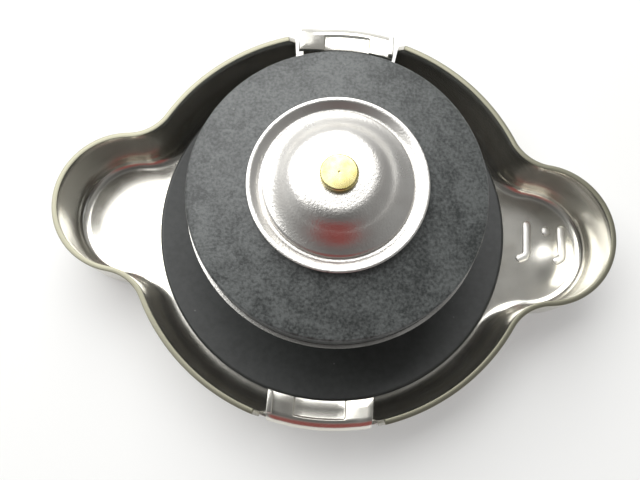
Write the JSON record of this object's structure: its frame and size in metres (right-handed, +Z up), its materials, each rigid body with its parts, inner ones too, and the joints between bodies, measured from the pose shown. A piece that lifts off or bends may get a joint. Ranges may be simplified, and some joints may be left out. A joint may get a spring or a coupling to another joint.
{
  "type": "radiator cap",
  "caption": "Eared pressed-steel radiator cap, valve side up, with locking lugs, rubber neck seal, caged coil spring, gasketed pressure valve and central vacuum valve.",
  "frame": {"origin": "centre of the cover's outer face, on the surface that the upturned cap lies on", "axes": "+X along the two grip ears, +Y across the locking lugs, +Z up out of the underside, towards the radiator"},
  "size_m": [0.0754, 0.0548, 0.028],
  "materials": {
    "plated_steel": "bright nickel plate on pressed steel",
    "zinc_steel": "satin zinc plate",
    "stainless_sheet": "bright rolled sheet",
    "stainless_dish": "satin deep-drawn sheet",
    "seal_rubber": "smooth moulded rubber",
    "gasket_rubber": "matte moulded rubber with pale dust",
    "spring_wire": "drawn spring wire",
    "brass": "turned brass"
  },
  "bodies": {
    "cap_cover": {"cover": "plated_steel", "centre_rivet": "zinc_steel", "rivet_washer": "zinc_steel"},
    "valve_cage": {"spring_disc": "stainless_sheet", "upper_seal": "seal_rubber", "spring_cage": "zinc_steel", "pressure_spring": "spring_wire"},
    "pressure_valve": {"valve_plate": "stainless_sheet", "pressure_gasket": "gasket_rubber", "vacuum_spring": "spring_wire"},
    "vacuum_valve": {"vacuum_dish": "stainless_dish", "vacuum_stem": "brass", "stem_washer": "brass"}
  },
  "joints": [
    {"name": "cage_swivel", "type": "hinge", "parent": "cap_cover", "child": "valve_cage", "pos_m": [0, 0, 0.003], "axis": [0, 0, 1], "continuous": true},
    {"name": "pressure_lift", "type": "slide", "parent": "valve_cage", "child": "pressure_valve", "axis": [0, 0, -1], "range_m": [0, 0.003], "stiffness_N_per_m": 1500, "springref_m": -0.0005, "deforming": ["pressure_spring"]},
    {"name": "vacuum_lift", "type": "slide", "parent": "pressure_valve", "child": "vacuum_valve", "axis": [0, 0, 1], "range_m": [0, 0.002], "stiffness_N_per_m": 200, "springref_m": -0.001, "deforming": ["vacuum_spring"]}
  ]
}
